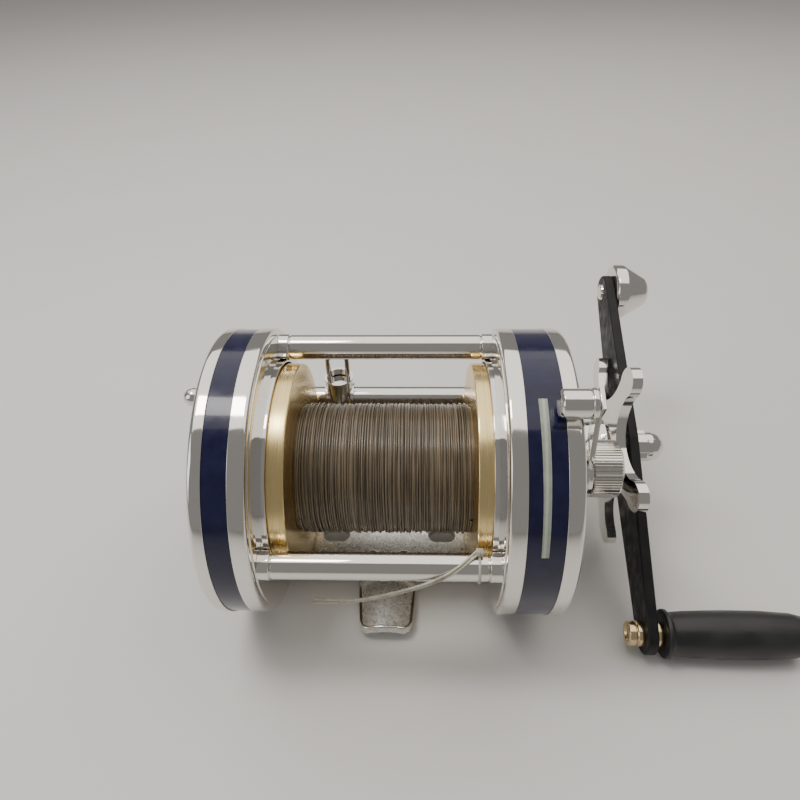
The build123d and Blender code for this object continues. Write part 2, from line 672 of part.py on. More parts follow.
# ---- drag lever ----
LEVER = radial_plane(LEVER_ANGLE)
with BuildPart() as lever_arm:
    turned([(51.8, 5.46), (51.8, 9.0), (53.0, 9.0), (53.3, 8.0), (54.5, 8.0), (54.5, 5.46)])
    with BuildSketch(LEVER):
        with BuildLine():
            Polyline((53.0, 7.0), (47.0, 39.6), (47.0, 45.0),
                     (48.1, 45.0), (48.2, 40.0), (54.4, 7.0), close=True)
        make_face()
    extrude(amount=2.6, both=True)
    tip = LEVER.from_local_coords((47.5, 45.0))
    fillet(lever_arm.edges().filter_by(GeomType.LINE).sort_by_distance(tip)[:1], 0.3)
finish(lever_arm, "lever_arm")

knob_y, knob_z = polar(LEVER_ARM, LEVER_ANGLE)
with BuildPart() as lever_knob:
    outline = [(39.0, 0), (39.0, 2.7), (39.6, KNOB_R), (45.3, KNOB_R), (45.5, 3.1), (45.7, 3.5), (46.7, 3.5)]
    outline += [(47.0, 3.2), (47.0, 0)]
    turned(outline, knob_y, knob_z)
finish(lever_knob, "lever_knob")

# ---- level wind ----
gy, gz = guide
with BuildPart() as level_wind_tube:
    ring(-FRAME_X, FRAME_X, COLLAR_R, 2.75, gy, gz)
    with BuildSketch(Plane.XY.offset(gz)):
        with Locations((0, gy)):
            SlotOverall(43.0, 2.0)
    extrude(amount=-5, mode=Mode.SUBTRACT)
finish(level_wind_tube, "level_wind_tube")

with BuildPart() as worm_bushes:
    ring(-RING_X, -FRAME_X, 2.2, 0, gy, gz)
    ring(-FRAME_X, -24.4, 2.75, 1.53, gy, gz)
    ring(FRAME_X, RING_X, 2.2, 1.53, gy, gz)
    ring(24.4, FRAME_X, 2.75, 1.53, gy, gz)
finish(worm_bushes, "worm_bushes")

with BuildPart() as worm_shaft:
    outline = [(-28.2, 0), (-28.2, 1.5), (-24.0, 1.5), (-24.0, 2.0)]
    for n in range(20):
        start = -22.8 + 2.3 * n
        outline += [(start, 2.0), (start + 0.4, 1.4), (start + 1.2, 1.4), (start + 1.6, 2.0)]
    outline += [(24.0, 2.0), (24.0, 1.5), (34.6, 1.5), (34.6, 0)]
    turned(outline, gy, gz)
finish(worm_shaft, "worm_shaft")

with BuildPart() as worm_gear:
    gear(WIND_X, WORM_TEETH, worm_phase, gy, gz, 1.5)
finish(worm_gear, "worm_gear")

x_left = CARRIAGE_X - CARRIAGE_HALF
x_right = CARRIAGE_X + CARRIAGE_HALF
with BuildPart() as carriage:
    turned([(x_left, 3.56), (x_left, 4.7), (x_left + 0.9, 4.7), (x_left + 1.4, 4.3),
            (x_right - 1.4, 4.3), (x_right - 0.9, 4.7), (x_right, 4.7), (x_right, 3.56)], gy, gz)
    with BuildSketch(Plane.XY.offset(gz)):
        with Locations((CARRIAGE_X, gy)):
            Circle(4.1)
    extrude(amount=8.6)
    with BuildSketch(Plane.XY.offset(gz + 7.8)):
        with Locations((CARRIAGE_X, gy)):
            Circle(4.4)
    extrude(amount=0.8)
    with BuildSketch(Plane.XY.offset(gz + 5.0)):
        with Locations((CARRIAGE_X, gy)):
            Circle(3.6)
    extrude(amount=5, mode=Mode.SUBTRACT)
    ring(x_left - 1, x_right + 1, 3.56, 0, gy, gz, mode=Mode.SUBTRACT)
    with BuildSketch(Plane.XY.offset(gz)):
        with Locations((CARRIAGE_X, gy)):
            Circle(1.1)
    extrude(amount=-6, mode=Mode.SUBTRACT)
finish(carriage, "carriage")

with BuildPart() as line_guide:
    foot_z = gz + 5.0
    top_z = gz + 14.4
    with BuildLine() as bail:
        Line((CARRIAGE_X - POST_HALF + 0.6, gy, foot_z), (CARRIAGE_X - POST_HALF, gy, foot_z + 5.0))
        Line((CARRIAGE_X - POST_HALF, gy, foot_z + 5.0), (CARRIAGE_X - POST_HALF, gy, top_z))
        ThreePointArc((CARRIAGE_X - POST_HALF, gy, top_z), (CARRIAGE_X, gy, top_z + POST_HALF),
                      (CARRIAGE_X + POST_HALF, gy, top_z))
        Line((CARRIAGE_X + POST_HALF, gy, top_z), (CARRIAGE_X + POST_HALF, gy, foot_z + 5.0))
        Line((CARRIAGE_X + POST_HALF, gy, foot_z + 5.0), (CARRIAGE_X + POST_HALF - 0.6, gy, foot_z))
    with BuildSketch(Plane(origin=bail.line @ 0, z_dir=bail.line % 0)):
        Circle(POST_R)
    sweep(transition=Transition.ROUND)
    with BuildSketch(Plane.XY.offset(foot_z)):
        with Locations((CARRIAGE_X, gy)):
            Circle(3.2)
    extrude(amount=1.2)
    with BuildSketch(Plane.XY.offset(foot_z - 2)):
        with Locations((CARRIAGE_X, gy)):
            Rectangle(30, 30)
    extrude(amount=2, mode=Mode.SUBTRACT)
finish(line_guide, "line_guide")

with BuildPart() as guide_pawl:
    with BuildSketch(Plane.XY.offset(gz - 2.15)):
        with Locations((CARRIAGE_X, gy)):
            Circle(0.65)
    extrude(amount=-1.6)
    with BuildSketch(Plane.XY.offset(gz - 3.6)):
        with Locations((CARRIAGE_X, gy)):
            Circle(0.95)
    extrude(amount=-1.3)
finish(guide_pawl, "guide_pawl")

with BuildPart() as pawl_cap:
    with BuildSketch(Plane.XY.offset(gz - 4.9)):
        with Locations((CARRIAGE_X, gy)):
            Circle(1.1)
    extrude(amount=-0.4)
    with BuildSketch(Plane.XY.offset(gz - 5.3)):
        with Locations((CARRIAGE_X, gy)):
            Circle(2.3)
    extrude(amount=-0.9)
finish(pawl_cap, "pawl_cap")

# ---- click ----
with BuildPart() as click_button:
    outline = [(35.4, 0), (35.4, 1.5), (43.2, 1.5), (43.2, 2.1), (44.2, 2.3)]
    outline += [(45.4, 2.0), (46.2, 1.3), (46.5, 0)]
    turned(at_side(outline, -1), button_y, button_z)
finish(click_button, "click_button")

with BuildPart() as click_tongue:
    a = math.radians(BUTTON_ANGLE)
    inward = (0, math.cos(a), -math.sin(a))
    with BuildSketch(Plane(origin=(-35.4, button_y, button_z), x_dir=inward, z_dir=(1, 0, 0))):
        with Locations((9.0, 0)):
            Rectangle(24.0, 4.4)
    extrude(amount=1.0)
    with BuildSketch(Plane(origin=(-34.4, button_y, button_z), x_dir=inward, z_dir=(1, 0, 0))):
        with Locations((19.6, 0)):
            Rectangle(2.8, 3.0)
    extrude(amount=4.2)
finish(click_tongue, "click_tongue")

# ---- loose end of the line ----
HITCH_X = 23.1
KNOT_R = 0.75


def on_pillar(x, angle, lift):
    """Point over the near pillar; the angle runs from its top towards the angler."""
    a = math.radians(angle)
    r = PILLAR_R + lift
    return (x, near[0] - r * math.sin(a), near[1] + r * math.cos(a))


knot = on_pillar(HITCH_X, -14, 1.1)
TAIL_LOW = [knot, on_pillar(21.3, 8, 0.55), on_pillar(18.3, 47, 0.5), (14.2, -36.7, 34.6),
            (8.2, -36.9, 30.9), (-4.0, -36.2, 24.6), (-10.9, -35.2, 21.9), (-17.3, -34.6, 21.0)]
TAIL_HIGH = [on_pillar(HITCH_X - 0.4, -18, 1.5), on_pillar(20.8, 1, 0.65), on_pillar(17.8, 40, 0.6),
             (13.8, -36.8, 35.25), (7.9, -36.95, 31.55), (-4.2, -36.25, 25.3), (-10.6, -35.2, 23.0),
             (-16.2, -34.4, 22.5)]

with BuildPart() as line_hitch:
    with Locations(Location((HITCH_X, *near), (0, 90, 0))):
        Torus(PILLAR_R + 0.8 * LINE_R, LINE_R)
    for x in (HITCH_X - 1.8 * LINE_R, HITCH_X, HITCH_X + 1.8 * LINE_R):
        with Locations(Location((x, knot[1], knot[2]), (0, 90, 0))):
            Torus(KNOT_R, 1.05 * LINE_R)
    ring(HITCH_X - 0.5, HITCH_X + 0.5, KNOT_R, 0, knot[1], knot[2])
    ring(HITCH_X - 3, HITCH_X + 3, PILLAR_R, 0, *near, mode=Mode.SUBTRACT)
finish(line_hitch, "line_hitch")


def line_tail(route):
    with BuildLine():
        path = FilletPolyline(*route, radius=tube_radii(route))
    with BuildSketch(Plane(origin=path @ 0, z_dir=path % 0)) as section:
        Circle(LINE_R)
    sweep(section.sketch, path=path)
    radii = [round(r, 1) for r in tube_radii(route)]
    volume = path.length * math.pi * LINE_R ** 2
    print("tail radii", radii, "length", round(path.length, 2), "volume", round(volume, 3))


with BuildPart() as line_tail_low:
    line_tail(TAIL_LOW)
finish(line_tail_low, "line_tail_low")

with BuildPart() as line_tail_high:
    line_tail(TAIL_HIGH)
finish(line_tail_high, "line_tail_high")

for tail in (line_tail_low, line_tail_high):
    print("tail solid volume", round(tail.part.volume, 3))
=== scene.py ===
import json
import math
import random

import bmesh
import bpy
from mathutils import Matrix, Vector


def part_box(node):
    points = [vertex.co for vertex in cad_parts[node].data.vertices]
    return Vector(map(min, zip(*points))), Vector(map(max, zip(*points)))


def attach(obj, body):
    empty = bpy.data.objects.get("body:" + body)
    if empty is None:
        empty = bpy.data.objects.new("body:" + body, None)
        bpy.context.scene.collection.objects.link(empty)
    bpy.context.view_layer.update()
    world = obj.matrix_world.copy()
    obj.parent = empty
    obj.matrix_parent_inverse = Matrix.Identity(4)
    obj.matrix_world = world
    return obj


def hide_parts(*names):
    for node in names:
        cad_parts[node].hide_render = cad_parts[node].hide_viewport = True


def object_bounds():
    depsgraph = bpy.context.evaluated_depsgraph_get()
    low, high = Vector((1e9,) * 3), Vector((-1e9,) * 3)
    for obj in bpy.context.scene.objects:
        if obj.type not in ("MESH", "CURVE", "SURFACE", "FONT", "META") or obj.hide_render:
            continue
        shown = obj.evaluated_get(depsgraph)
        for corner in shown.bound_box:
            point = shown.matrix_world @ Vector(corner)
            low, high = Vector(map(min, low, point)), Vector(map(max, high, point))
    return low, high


# Level-wind multiplier fishing reel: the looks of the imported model. Metres, unless MM follows
# or a comment says millimetres. +X runs along the spool axis to the crank, +Y to the rod tip,
# +Z is up.

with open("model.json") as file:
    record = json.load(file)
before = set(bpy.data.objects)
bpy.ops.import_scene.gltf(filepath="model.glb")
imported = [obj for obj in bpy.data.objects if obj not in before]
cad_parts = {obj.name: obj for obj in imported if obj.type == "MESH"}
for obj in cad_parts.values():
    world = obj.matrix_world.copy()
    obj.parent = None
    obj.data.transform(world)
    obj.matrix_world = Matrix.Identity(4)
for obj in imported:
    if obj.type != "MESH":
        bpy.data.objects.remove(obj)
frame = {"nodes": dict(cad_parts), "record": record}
cad_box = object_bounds()
NODES = frame["nodes"]
RECORD = frame["record"]
BODIES = RECORD["behaviour"]["bodies"]
BODY_OF = {node: body for body, members in BODIES.items() for node in members}
SLOT_OF = {row["node"]: row["material_slot"] for row in RECORD["subparts"]}
MM = 0.001


def centre(node):
    low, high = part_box(node)
    return (low + high) / 2


def link(piece):
    bpy.context.scene.collection.objects.link(piece)
    return piece


# ---- camera ----
CAMERA_AT = Vector((9.271, -119.091, 162.448)) * MM
CAMERA_FORWARD = Vector((-0.03076, 0.74860, -0.66231))
CAMERA_UP = Vector((-0.00203, 0.66257, 0.74900))


def make_camera():
    lens = bpy.data.cameras.new("camera")
    lens.sensor_width = 36.0
    lens.lens = 28.8
    lens.clip_start = 0.005
    camera = link(bpy.data.objects.new("camera", lens))
    forward = CAMERA_FORWARD.normalized()
    right = forward.cross(CAMERA_UP).normalized()
    up = right.cross(forward)
    turn = Matrix((right, up, -forward)).transposed().to_4x4()
    camera.matrix_world = Matrix.Translation(CAMERA_AT) @ turn
    bpy.context.scene.camera = camera


make_camera()

# ---- loose ends of the line ----
LINE_D = 0.6 * MM
POINT_RADIUS = 0.001    # scales the bevel; a curve's box grows by this much on every side
TAILS = {
    "line_tail_low": (
        45.81 * MM,
        [
            (23.10, -31.79, 38.45),
            (21.30, -33.39, 37.99),
            (18.30, -35.63, 36.77),
            (14.20, -36.70, 34.60),
            (8.20, -36.90, 30.90),
            (-4.00, -36.20, 24.60),
            (-10.90, -35.20, 21.90),
            (-17.30, -34.60, 21.00),
        ],
    ),
    "line_tail_high": (
        44.22 * MM,
        [
            (22.70, -31.37, 38.74),
            (20.80, -32.92, 38.13),
            (17.80, -35.36, 37.17),
            (13.80, -36.80, 35.25),
            (7.90, -36.95, 31.55),
            (-4.20, -36.25, 25.30),
            (-10.60, -35.20, 23.00),
            (-16.20, -34.40, 22.50),
        ],
    ),
}


def make_tail(node):
    length, route = TAILS[node]
    curve = bpy.data.curves.new(node + "_strand", "CURVE")
    curve.dimensions = "3D"
    curve.bevel_depth = LINE_D / 2 / POINT_RADIUS
    curve.bevel_resolution = 5
    curve.resolution_u = 16
    curve.use_fill_caps = True
    spline = curve.splines.new("NURBS")
    spline.points.add(len(route) - 1)
    for point, place in zip(spline.points, route):
        point.co = (*(Vector(place) * MM), 1.0)
        point.radius = POINT_RADIUS
    spline.order_u = 3
    spline.use_endpoint_u = True
    strand = link(bpy.data.objects.new(node + "_strand", curve))
    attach(strand, "frame")
    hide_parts(node)
    return strand


strands = [make_tail(node) for node in TAILS]


# ---- materials ----
COLOUR_MIX_INPUTS = (0, 6, 7)   # a Mix node's factor and its two colours
COLOUR_MIX_OUTPUT = 2


def socket_name(word):
    """The shader's own label for a socket: coat_weight is "Coat Weight", ior is "IOR"."""
    return word.replace("_", " ").title().replace("Ior", "IOR")


class Paint:
    """One node material with short names for the nodes that it uses."""

    def __init__(self, name, **constants):
        self.material = bpy.data.materials.new(name)
        self.material.use_nodes = True
        self.tree = self.material.node_tree
        self.shader = self.tree.nodes["Principled BSDF"]
        for socket, value in constants.items():
            self.shader.inputs[socket_name(socket)].default_value = value
        self.place = self.tree.nodes.new("ShaderNodeTexCoord").outputs["Object"]

    def node(self, kind, inputs=None, **settings):
        made = self.tree.nodes.new(kind)
        for key, value in settings.items():
            setattr(made, key, value)
        for key, value in (inputs or {}).items():
            if isinstance(value, bpy.types.NodeSocket):
                self.tree.links.new(value, made.inputs[key])
            else:
                made.inputs[key].default_value = value
        return made

    def scaled(self, x, y, z):
        """Object coordinates in millimetres, stretched along the axes."""
        to_mm = 1.0 / MM
        stretch = (x * to_mm, y * to_mm, z * to_mm)
        made = self.node("ShaderNodeMapping", {"Vector": self.place, "Scale": stretch})
        return made.outputs["Vector"]

    def noise(self, scale, detail=3.0, rough=0.5, vector=None):
        """Grey noise; scale is in features per millimetre."""
        vector = vector or self.scaled(1, 1, 1)
        inputs = {"Vector": vector, "Scale": scale, "Detail": detail, "Roughness": rough}
        return self.node("ShaderNodeTexNoise", inputs).outputs["Fac"]

    def cells(self, scale):
        """Distance to the nearest of many scattered points; scale is in points per millimetre."""
        made = self.node("ShaderNodeTexVoronoi", {"Vector": self.scaled(1, 1, 1), "Scale": scale})
        return made.outputs["Distance"]

    def math(self, operation, a, b=0.0):
        return self.node("ShaderNodeMath", {0: a, 1: b}, operation=operation).outputs[0]

    def spread(self, value, low, high, to_low=0.0, to_high=1.0):
        """The stretch from low to high becomes the stretch from to_low to to_high."""
        inputs = {"Value": value, "From Min": low, "From Max": high}
        inputs |= {"To Min": to_low, "To Max": to_high}
        return self.node("ShaderNodeMapRange", inputs).outputs["Result"]

    def blend(self, fac, a, b):
        """Colour a where fac is 0 and colour b where it is 1."""
        made = self.node("ShaderNodeMix", data_type="RGBA")
        fac_socket, a_socket, b_socket = (made.inputs[k] for k in COLOUR_MIX_INPUTS)
        for socket, value in ((fac_socket, fac), (a_socket, a), (b_socket, b)):
            if isinstance(value, bpy.types.NodeSocket):
                self.tree.links.new(value, socket)
            else:
                socket.default_value = value if isinstance(value, float) else (*value, 1.0)
        return made.outputs[COLOUR_MIX_OUTPUT]

    def radius_from(self, y, z):
        """Distance from a line along X through (y, z), in millimetres."""
        moved = self.node("ShaderNodeMapping", {"Vector": self.place, "Location": (0, -y, -z)})
        axes = self.node("ShaderNodeSeparateXYZ", {"Vector": moved.outputs["Vector"]})
        y_square = self.math("POWER", axes.outputs["Y"], 2.0)
        z_square = self.math("POWER", axes.outputs["Z"], 2.0)
        square = self.math("ADD", y_square, z_square)
        return self.math("MULTIPLY", self.math("SQRT", square), 1.0 / MM)

    def turned_marks(self, y, z, fine):
        """Noise that only changes along X and with the radius, as a lathe leaves it."""
        axes = self.node("ShaderNodeSeparateXYZ", {"Vector": self.place})
        along = self.math("MULTIPLY", axes.outputs["X"], 1.0 / MM)
        rings = self.node("ShaderNodeCombineXYZ", {"X": along, "Y": self.radius_from(y, z)})
        return self.noise(fine, 4.0, 0.6, rings.outputs["Vector"])

    def bump(self, height, depth, strength=1.0, under=None):
        """Normal from a height; depth is in millimetres."""
        inputs = {"Height": height, "Distance": depth * MM, "Strength": strength}
        if under is not None:
            inputs["Normal"] = under
        return self.node("ShaderNodeBump", inputs).outputs["Normal"]

    def set(self, **sockets):
        for socket, value in sockets.items():
            self.tree.links.new(value, self.shader.inputs[socket_name(socket)])
        return self.material


SHINE = 0.045   # roughness of clean plating


def chrome(name, tint=(0.80, 0.775, 0.735), smudge=0.10, pits=0.3, turned=None):
    """Polished plating with smudges, hairlines and a few dull pits."""
    p = Paint(name, metallic=1.0)
    cloud = p.noise(0.16, 4.0, 0.6)
    hair = p.noise(2.4, 2.0, 0.5, p.scaled(0.25, 3.0, 1.2))
    spots = p.spread(p.cells(0.9), 0.06, 0.16, 1.0, 0.0)
    few = p.spread(p.noise(0.22, 2.0), 0.66, 0.72)
    pit = p.math("MULTIPLY", p.math("MULTIPLY", spots, few), pits)
    tarnish = p.spread(cloud, 0.52, 0.78, 0.0, 0.35)
    worn = p.blend(tarnish, tint, tuple(0.86 * c for c in tint))
    colour = p.blend(pit, worn, (0.22, 0.17, 0.12))
    gloss = p.spread(cloud, 0.35, 0.75, SHINE, SHINE + smudge)
    gloss = p.math("ADD", gloss, p.math("MULTIPLY", pit, 0.5))
    normal = p.bump(p.noise(0.12, 2.0), 0.02)
    normal = p.bump(hair, 0.0012, 0.6, normal)
    if turned:
        normal = p.bump(p.turned_marks(*turned, 6.0), 0.003, 0.8, normal)
    normal = p.bump(pit, -0.03, 1.0, normal)
    return p.set(base_color=colour, roughness=gloss, normal=normal)


def cast_chrome(name, mottle=0.45):
    """Thin, softly mottled plating over a rough casting."""
    p = Paint(name, metallic=0.75)
    cloud = p.noise(0.8, 4.0, 0.55)
    off_middle = p.math("ABSOLUTE", p.math("SUBTRACT", p.noise(0.55, 2.0, 0.5), 0.5))
    worm = p.spread(off_middle, 0.0, 0.035, 1.0, 0.0)
    patch = p.spread(p.noise(0.10, 2.0), 0.42, 0.60)
    mark = p.math("MULTIPLY", worm, patch)
    colour = p.blend(p.spread(cloud, 0.35, 0.7), (0.93, 0.92, 0.88), (0.80, 0.79, 0.74))
    colour = p.blend(p.math("MULTIPLY", mark, mottle), colour, (0.48, 0.47, 0.42))
    gloss = p.spread(p.noise(0.9, 4.0), 0.3, 0.7, 0.22, 0.36)
    normal = p.bump(cloud, 0.035, 0.6)
    normal = p.bump(mark, -0.03, 0.5, normal)
    normal = p.bump(p.noise(3.0, 3.0), 0.008, 0.6, normal)
    return p.set(base_color=colour, roughness=gloss, normal=normal)


def lacquer(name, colour, lighter, coat=0.35, rough=0.16):
    """Paint with dust, orange peel and a little rubbing."""
    p = Paint(name, coat_weight=coat, coat_roughness=0.05, specular_ior_level=0.3)
    cloud = p.noise(0.3, 4.0)
    dust = p.spread(p.cells(1.1), 0.03, 0.07, 1.0, 0.0)
    dust = p.math("MULTIPLY", dust, p.spread(p.noise(0.5, 1.0), 0.60, 0.66))
    shade = p.blend(p.spread(cloud, 0.35, 0.7), colour, lighter)
    shade = p.blend(p.math("MULTIPLY", dust, 0.5), shade, (0.35, 0.34, 0.33))
    gloss = p.spread(cloud, 0.3, 0.7, rough * 0.7, rough * 1.5)
    normal = p.bump(p.noise(0.7, 2.0), 0.008)
    normal = p.bump(p.noise(4.0, 2.0, 0.5, p.scaled(0.2, 2.0, 1.0)), 0.001, 0.6, normal)
    return p.set(base_color=shade, roughness=gloss, normal=normal)


def anodised(name, axis):
    """Gold aluminium with fine lathe marks."""
    p = Paint(name, metallic=1.0)
    marks = p.turned_marks(*axis, 5.0)
    cloud = p.noise(0.25, 4.0)
    colour = p.blend(p.spread(marks, 0.35, 0.65), (0.92, 0.72, 0.37), (0.81, 0.62, 0.28))
    colour = p.blend(p.spread(cloud, 0.55, 0.8, 0.0, 0.4), colour, (0.70, 0.55, 0.29))
    gloss = p.spread(marks, 0.3, 0.7, 0.18, 0.34)
    return p.set(base_color=colour, roughness=gloss, normal=p.bump(marks, 0.006, 0.9))


def nylon(name, stops=((0.23, 0.18, 0.12), (0.075, 0.057, 0.035)), streak=(2.6, 0.05, 0.05)):
    """Translucent line; the shade changes from turn to turn."""
    p = Paint(name, ior=1.52, transmission_weight=0.12, coat_weight=0.35, coat_roughness=0.12)
    p.shader.inputs["Subsurface Weight"].default_value = 0.15
    p.shader.inputs["Subsurface Radius"].default_value = (0.0012, 0.0009, 0.0006)
    turns = p.noise(1.0, 3.0, 0.65, p.scaled(*streak))
    patch = p.noise(0.35, 3.0, 0.5, p.scaled(1.0, 0.4, 0.4))
    colour = p.blend(p.spread(turns, 0.36, 0.64), *stops)
    colour = p.blend(p.spread(patch, 0.5, 0.8, 0.0, 0.45), colour, (0.21, 0.19, 0.155))
    gloss = p.spread(turns, 0.3, 0.7, 0.22, 0.42)
    return p.set(base_color=colour, roughness=gloss, normal=p.bump(p.noise(3.0, 2.0), 0.004))


def plastic(name, colour, rough=0.42, grain=0.012):
    """Moulded plastic with a fine grain and handling shine."""
    p = Paint(name)
    cloud = p.noise(0.12, 4.0)
    shade = p.blend(p.spread(cloud, 0.4, 0.75), colour, tuple(1.6 * c for c in colour))
    gloss = p.spread(cloud, 0.35, 0.7, rough * 0.75, rough * 1.25)
    normal = p.bump(p.noise(5.0, 3.0), grain, 0.8)
    return p.set(base_color=shade, roughness=gloss, normal=normal)


def worked(name, colour, worn, axis=None, rough=(0.2, 0.4)):
    """Turned or ground plain metal: brass and steel."""
    p = Paint(name, metallic=1.0)
    marks = p.turned_marks(*axis, 4.0) if axis else p.noise(3.0, 3.0, 0.6, p.scaled(0.3, 2.0, 2.0))
    cloud = p.noise(0.4, 4.0)
    shade = p.blend(p.spread(marks, 0.3, 0.7), colour, tuple(0.86 * c for c in colour))
    shade = p.blend(p.spread(cloud, 0.5, 0.8, 0.0, 0.6), shade, worn)
    gloss = p.spread(cloud, 0.3, 0.75, *rough)
    return p.set(base_color=shade, roughness=gloss, normal=p.bump(marks, 0.005, 0.8))


def enamel(name):
    """Pale green inlay with a lighter line along its middle."""
    p = Paint(name, coat_weight=0.5, coat_roughness=0.1)
    axes = p.node("ShaderNodeSeparateXYZ", {"Vector": p.place})
    low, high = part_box("indicator_strip")
    middle = (low.x + high.x) / 2
    off = p.math("ABSOLUTE", p.math("SUBTRACT", axes.outputs["X"], middle))
    core = p.spread(off, 0.15 * MM, 0.45 * MM, 1.0, 0.0)
    cloud = p.noise(0.5, 4.0)
    ground = p.blend(p.spread(cloud, 0.4, 0.7), (0.27, 0.31, 0.26), (0.36, 0.40, 0.33))
    colour = p.blend(p.math("MULTIPLY", core, 0.75), ground, (0.52, 0.55, 0.47))
    gloss = p.spread(cloud, 0.3, 0.7, 0.25, 0.5)
    return p.set(base_color=colour, roughness=gloss, normal=p.bump(cloud, 0.01))


def axis_of(node):
    """Where the node's own line along X stands, as (y, z)."""
    middle = centre(node)
    return middle.y, middle.z


SPOOL_AXIS = axis_of("spindle")
HANDLE_AXIS = axis_of("handle_shaft")
GRIP_AXIS = axis_of("grip")
WEIGHT_AXIS = axis_of("counterweight")

bright_chrome = chrome("bright_chrome", turned=SPOOL_AXIS)
soft_chrome = chrome("soft_chrome", tint=(0.74, 0.72, 0.69), smudge=0.16, pits=0.6)
bar_chrome = chrome("bar_chrome", tint=(0.80, 0.77, 0.72), smudge=0.08, pits=0.9)
rough_chrome = cast_chrome("rough_chrome")
foot_chrome = cast_chrome("foot_chrome", 0.25)
handle_chrome = chrome(
    "handle_chrome", tint=(0.79, 0.765, 0.73), smudge=0.14, pits=0.2, turned=HANDLE_AXIS
)
weight_chrome = chrome(
    "weight_chrome", tint=(0.80, 0.78, 0.74), smudge=0.12, pits=0.2, turned=WEIGHT_AXIS
)
navy = lacquer("navy_lacquer", (0.006, 0.0062, 0.034), (0.010, 0.0110, 0.052))
black = lacquer(
    "black_lacquer", (0.007, 0.007, 0.008), (0.015, 0.0145, 0.0145), coat=0.0, rough=0.46
)
gold = anodised("gold_spool", SPOOL_AXIS)
wound_line = nylon("wound_line")
clear_line = nylon("clear_line", ((0.66, 0.63, 0.53), (0.46, 0.43, 0.34)), (0.5, 0.5, 0.5))
grip_black = plastic("grip_black", (0.016, 0.016, 0.017))
brass = worked("brass", (0.75, 0.56, 0.28), (0.42, 0.30, 0.14))
grip_brass = worked("grip_brass", (0.76, 0.60, 0.36), (0.45, 0.33, 0.18), GRIP_AXIS, (0.15, 0.3))
steel = worked("steel", (0.56, 0.56, 0.56), (0.33, 0.31, 0.29))
fibre = plastic("fibre", (0.12, 0.085, 0.055), 0.7, 0.03)
strip_enamel = enamel("strip_enamel")

# The finish of each slot in the part's record, then the nodes with a finish of their own.
FINISH_OF_SLOT = {
    "chrome": bright_chrome,
    "navy_lacquer": navy,
    "gold_spool": gold,
    "nylon_line": wound_line,
    "black_lacquer": black,
    "grip_plastic": grip_black,
    "brass": brass,
    "steel": steel,
    "indicator": strip_enamel,
    "fibre": fibre,
}
FINISH_OF_NODE = {
    "near_pillar": bar_chrome,
    "upper_pillar": bar_chrome,
    "level_wind_tube": soft_chrome,
    "carriage": soft_chrome,
    "line_guide": soft_chrome,
    "pawl_cap": soft_chrome,
    "base_plate": rough_chrome,
    "reel_foot": foot_chrome,
    "star_drag": handle_chrome,
    "lock_plate": handle_chrome,
    "handle_nut": handle_chrome,
    "counterweight": weight_chrome,
    "counterweight_screw": weight_chrome,
    "grip_axle": grip_brass,
    "grip_collar": grip_brass,
    "left_end_ring": soft_chrome,
    "right_end_ring": soft_chrome,
}


def finish_of(node):
    return FINISH_OF_NODE.get(node, FINISH_OF_SLOT[SLOT_OF[node]])


def paint(piece, material):
    piece.data.materials.clear()
    piece.data.materials.append(material)
    return piece


# ---- pieces ----
def stand_in(piece, node, material=None):
    """The piece takes the node's place, on its body and in its slot."""
    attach(piece, BODY_OF[node])
    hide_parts(node)
    return paint(piece, material or finish_of(node))


def from_bmesh(name, shape, smooth=40.0):
    """A piece with smooth shading, apart from edges steeper than smooth in degrees."""
    mesh = bpy.data.meshes.new(name)
    for face in shape.faces:
        face.smooth = True
    shape.to_mesh(mesh)
    shape.free()
    mesh.set_sharp_from_angle(angle=math.radians(smooth))
    return link(bpy.data.objects.new(name, mesh))


SAME_POINT = 1e-7
FLAT = math.radians(0.6)     # faces this close to one plane are joined first
STEEP = math.radians(32.0)   # edges steeper than this are rounded
EDGE_SEGMENTS = 2


def softened(node, width):
    """The node's shape with its edges rounded; width is in millimetres."""
    shape = bmesh.new()
    shape.from_mesh(NODES[node].data)
    bmesh.ops.remove_doubles(shape, verts=shape.verts, dist=SAME_POINT)
    bmesh.ops.dissolve_limit(shape, angle_limit=FLAT, verts=shape.verts, edges=shape.edges)
    edges = [e for e in shape.edges if len(e.link_faces) == 2 and e.calc_face_angle(0) > STEEP]
    bmesh.ops.bevel(
        shape,
        geom=edges,
        offset=width * MM,
        offset_type="OFFSET",
        segments=EDGE_SEGMENTS,
        profile=0.5,
        affect="EDGES",
        clamp_overlap=True,
    )
    piece = from_bmesh(node + "_finished", shape)
    weighted = piece.modifiers.new("even_normals", "WEIGHTED_NORMAL")
    weighted.keep_sharp = True
    return stand_in(piece, node)


SOFT_EDGES = {
    "near_pillar": 0.12,
    "upper_pillar": 0.12,
    "base_plate": 0.25,
    "reel_foot": 0.3,
    "left_face_disc": 0.25,
    "right_face_dome": 0.25,
    "level_wind_tube": 0.12,
    "carriage": 0.12,
    "pawl_cap": 0.2,
    "star_drag": 0.35,
    "lock_plate": 0.15,
    "handle_nut": 0.2,
    "counterweight": 0.2,
    "crank_arm": 0.25,
    "tension_cap": 0.06,
    "lever_arm": 0.2,
    "lever_knob": 0.2,
    "click_button": 0.15,
    "grip": 0.2,
    "grip_axle": 0.12,
    "grip_collar": 0.15,
}
for node_name, edge in SOFT_EDGES.items():
    softened(node_name, edge)

# ---- turned parts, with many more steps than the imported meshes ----
LATHE_STEPS = 320
ARC_STEPS = 5


